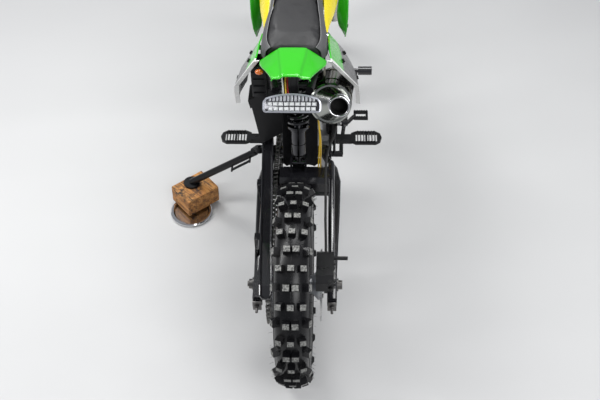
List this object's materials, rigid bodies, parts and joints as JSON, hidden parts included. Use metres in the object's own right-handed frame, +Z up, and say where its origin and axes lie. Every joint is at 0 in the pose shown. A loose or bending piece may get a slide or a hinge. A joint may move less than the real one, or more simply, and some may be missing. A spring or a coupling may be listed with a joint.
{
  "type": "off-road motorcycle",
  "caption": "Knobby-tyred off-road motorcycle leaning on its side stand, with turning steering and wheels, a swingarm rear end, and a wood block and dish under the stand's foot.",
  "frame": {"origin": "middle of the whole on the floor", "axes": "+Y forward along the wheelbase, +X to the rider's right, +Z up"},
  "size_m": [0.7676, 1.786, 1.0482],
  "materials": {
    "tyre": "matt knobby rubber",
    "rim_black": "black anodised",
    "hub_metal": "satin",
    "steel": "brushed",
    "gloss_black": "gloss black",
    "frame_black": "satin black",
    "engine_metal": "cast, satin",
    "silencer_metal": "brushed",
    "header_steel": "polished",
    "fork_metal": "satin",
    "bar_black": "satin black",
    "green_plastic": "gloss",
    "white_plastic": "gloss",
    "yellow_plastic": "gloss",
    "black_plastic": "grained",
    "seat_cover": "textured vinyl",
    "lamp_clear": "clear lens over bright reflector",
    "black_rubber": "matt",
    "wood": "worn",
    "dish_chrome": "polished rim"
  },
  "bodies": {
    "chassis": {"chain": "steel", "swingarm": "gloss_black", "rear_axle": "steel", "rear_caliper": "frame_black", "brake_hose": "black_rubber", "chain_guard": "gloss_black", "shock_body": "header_steel", "shock_spring": "steel", "frame_backbone": "frame_black", "frame_downtube": "frame_black", "frame_plates": "frame_black", "subframe": "frame_black", "engine_case": "engine_metal", "engine_cylinder": "engine_metal", "carburettor": "engine_metal", "exhaust_header": "header_steel", "silencer": "silencer_metal", "airbox": "black_plastic", "seat": "seat_cover", "fuel_tank": "yellow_plastic", "shrouds": "green_plastic", "side_panels": "white_plastic", "rear_fender": "green_plastic", "inner_fender": "black_plastic", "tail_light": "lamp_clear", "foot_pegs": "frame_black", "foot_controls": "frame_black", "kick_starter": "header_steel", "stand_block": "wood", "block_dish": "dish_chrome"},
    "rear_wheel": {"rear_tyre": "tyre", "rear_rim": "rim_black", "rear_hub": "hub_metal", "rear_sprocket": "steel", "rear_disc": "steel"},
    "steering": {"fork_crown": "hub_metal", "fork_legs": "fork_metal", "front_axle": "steel", "handlebar": "bar_black", "grips": "black_rubber", "control_levers": "fork_metal", "number_plate": "white_plastic", "front_fender": "green_plastic"},
    "front_wheel": {"front_tyre": "tyre", "front_rim": "rim_black", "front_hub": "hub_metal", "front_disc": "steel"},
    "side_stand": {"side_stand": "frame_black"}
  },
  "joints": [
    {"name": "rear_wheel_spin", "type": "hinge", "parent": "chassis", "child": "rear_wheel", "pos_m": [0.03651, -0.625, 0.26855], "axis": [0.999, 0, 0.0436], "continuous": true},
    {"name": "steering_turn", "type": "hinge", "parent": "chassis", "child": "steering", "pos_m": [0.01321, 0.29251, 0.80222], "axis": [-0.0389, -0.454, 0.8902], "range_deg": [-40, 40]},
    {"name": "front_wheel_spin", "type": "hinge", "parent": "steering", "child": "front_wheel", "pos_m": [0.03564, 0.605, 0.28853], "axis": [0.999, 0, 0.0436], "continuous": true},
    {"name": "stand_fold", "type": "hinge", "parent": "chassis", "child": "side_stand", "pos_m": [-0.09233, -0.125, 0.28495], "axis": [-0.0409, 0.3489, 0.9363], "range_deg": [0, 110]}
  ]
}
